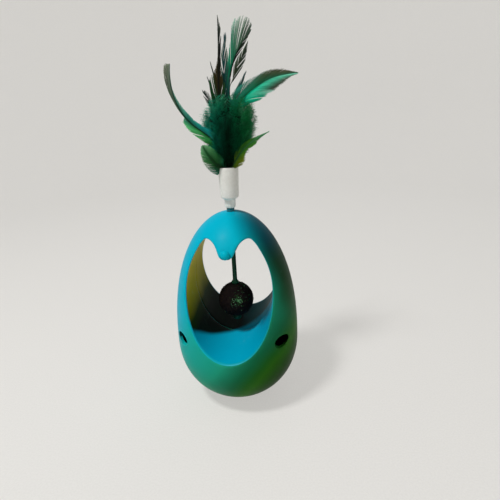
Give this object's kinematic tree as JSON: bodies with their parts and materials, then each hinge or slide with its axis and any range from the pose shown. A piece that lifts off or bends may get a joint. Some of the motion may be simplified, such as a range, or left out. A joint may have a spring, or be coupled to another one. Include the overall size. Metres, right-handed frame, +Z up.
{
  "type": "catnip tumbler toy",
  "caption": "Weighted egg-shaped cat toy with a drop-shaped tunnel, a swinging catnip ball, treat holes and a swivelling feather head that pulls off.",
  "frame": {"origin": "on the egg's axis, at the flat foot it stands on; the mount point is 1 mm in front of the seam, on the front shell's foot", "axes": "+Z up along the egg's axis, -Y the front with the treat holes, +X to the right seen from the front"},
  "size_m": [0.0848, 0.0818, 0.2393],
  "materials": {
    "shell": "satin",
    "weight": "matte",
    "cover": "matte",
    "screw": "satin",
    "pin": "satin",
    "stem": "satin",
    "catnip": "matte",
    "sleeve": "satin",
    "glue": "satin",
    "dark_feather": "matte",
    "bright_feather": "matte",
    "brown_feather": "matte",
    "fluff": "matte"
  },
  "bodies": {
    "egg": {"front_shell": "shell", "back_shell": "shell", "counterweight": "weight", "weight_cover": "cover", "shell_screw_left": "screw", "shell_screw_right": "screw", "pivot_pin": "pin"},
    "stem": {"hanging_stem": "stem", "stem_end_cap": "stem"},
    "ball": {"catnip_ball": "catnip"},
    "swivel": {"top_peg": "stem"},
    "feather_head": {"feather_sleeve": "sleeve", "glue_plug": "glue", "marabou_tuft": "fluff", "tall_feather": "brown_feather", "slim_feather": "brown_feather", "crest_feather": "brown_feather", "right_feather": "bright_feather", "left_feather": "dark_feather", "low_left_feather": "dark_feather", "low_right_feather": "dark_feather", "high_hackle": "dark_feather", "middle_hackle": "dark_feather", "low_hackle": "dark_feather", "right_hackle": "dark_feather"}
  },
  "joints": [
    {"name": "stem_swing", "type": "hinge", "parent": "egg", "child": "stem", "pos_m": [0, 0, 0.1113], "axis": [0, 1, 0], "range_deg": [-18, 18]},
    {"name": "ball_spin", "type": "hinge", "parent": "stem", "child": "ball", "pos_m": [0, 0, 0.0695], "axis": [0, 0, 1], "continuous": true},
    {"name": "feather_swivel", "type": "hinge", "parent": "egg", "child": "swivel", "pos_m": [0, 0, 0.133], "axis": [0, 0, 1], "continuous": true},
    {"name": "feather_pull", "type": "slide", "parent": "swivel", "child": "feather_head", "axis": [0, 0, 1], "range_m": [0, 0.006]}
  ]
}
